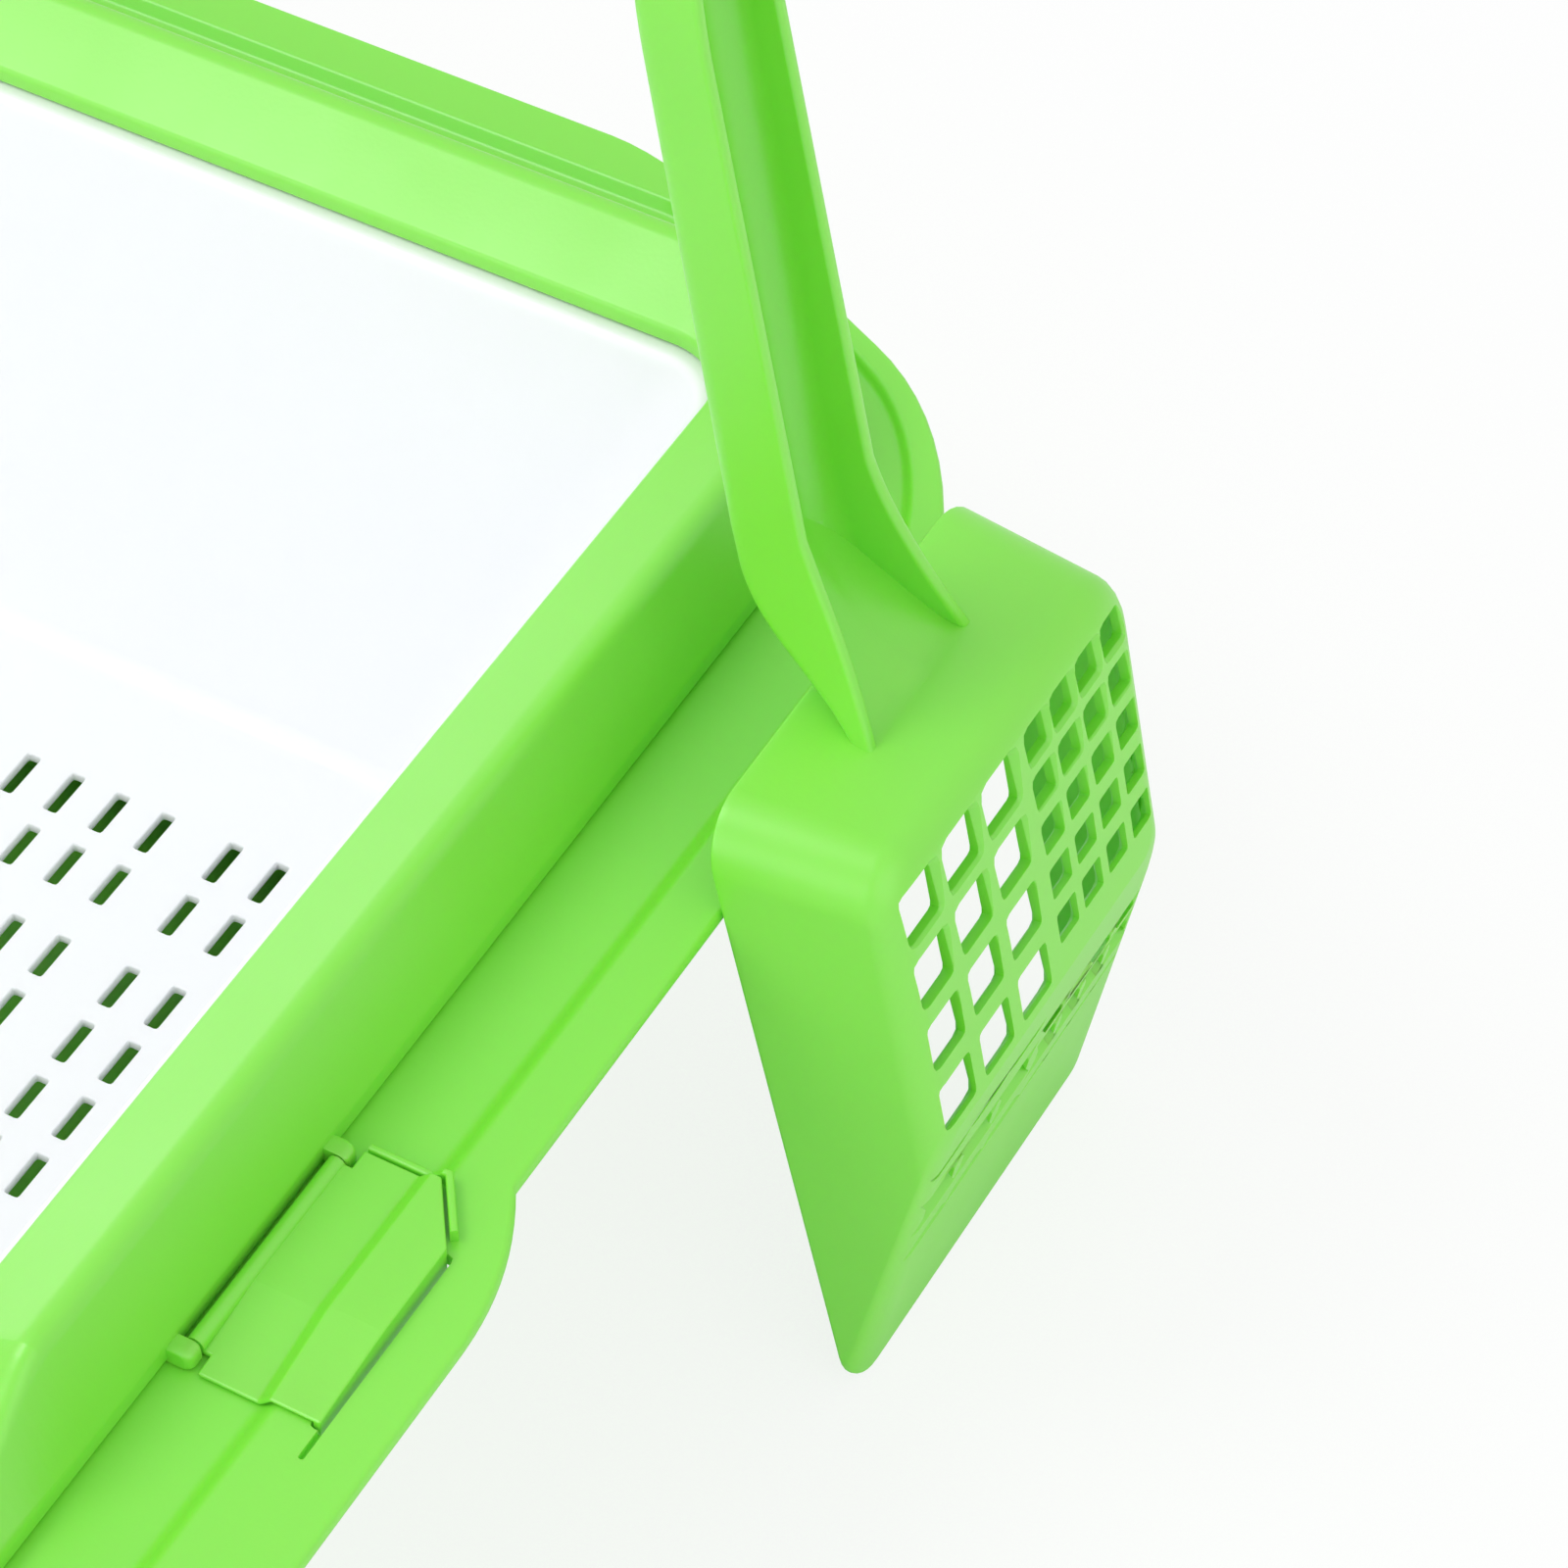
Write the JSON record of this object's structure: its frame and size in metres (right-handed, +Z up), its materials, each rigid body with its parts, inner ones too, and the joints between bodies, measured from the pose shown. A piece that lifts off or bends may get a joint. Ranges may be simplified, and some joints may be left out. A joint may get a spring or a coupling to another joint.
{
  "type": "open-top litter box",
  "caption": "Open-top litter box: base tray with a wide lip, slotted sieve tray, top frame that steps down at the front and is held by hinged latches, and a perforated scoop leaning on the rim.",
  "frame": {"origin": "centre of the base tray's flat underside", "axes": "+Z up, +Y along the box towards its high back, +X across it towards the side the scoop leans on"},
  "size_m": [0.4247, 0.482, 0.2596],
  "materials": {
    "green_plastic": "satin moulded polypropylene",
    "white_plastic": "satin moulded polypropylene"
  },
  "bodies": {
    "base": {"base_tray": "green_plastic"},
    "sieve": {"sieve_tray": "white_plastic"},
    "frame": {"top_frame": "green_plastic"},
    "right_latch": {"latch_right": "green_plastic"},
    "left_latch": {"latch_left": "green_plastic"},
    "litter_scoop": {"scoop": "green_plastic"}
  },
  "joints": [
    {"name": "sieve_lift", "type": "slide", "parent": "base", "child": "sieve", "axis": [0, 0, 1], "range_m": [0, 0.04]},
    {"name": "frame_lift", "type": "slide", "parent": "sieve", "child": "frame", "axis": [0, 0, 1], "range_m": [0, 0.03]},
    {"name": "right_latch_hinge", "type": "hinge", "parent": "frame", "child": "right_latch", "pos_m": [0.1674, 0.022, 0.1007], "axis": [0, -1, 0], "range_deg": [0, 95]},
    {"name": "left_latch_hinge", "type": "hinge", "parent": "frame", "child": "left_latch", "pos_m": [-0.1674, 0.022, 0.1007], "axis": [0, 1, 0], "range_deg": [0, 95]},
    {"name": "scoop_lift", "type": "slide", "parent": "base", "child": "litter_scoop", "axis": [0, 0, 1], "range_m": [0, 0.15]}
  ]
}
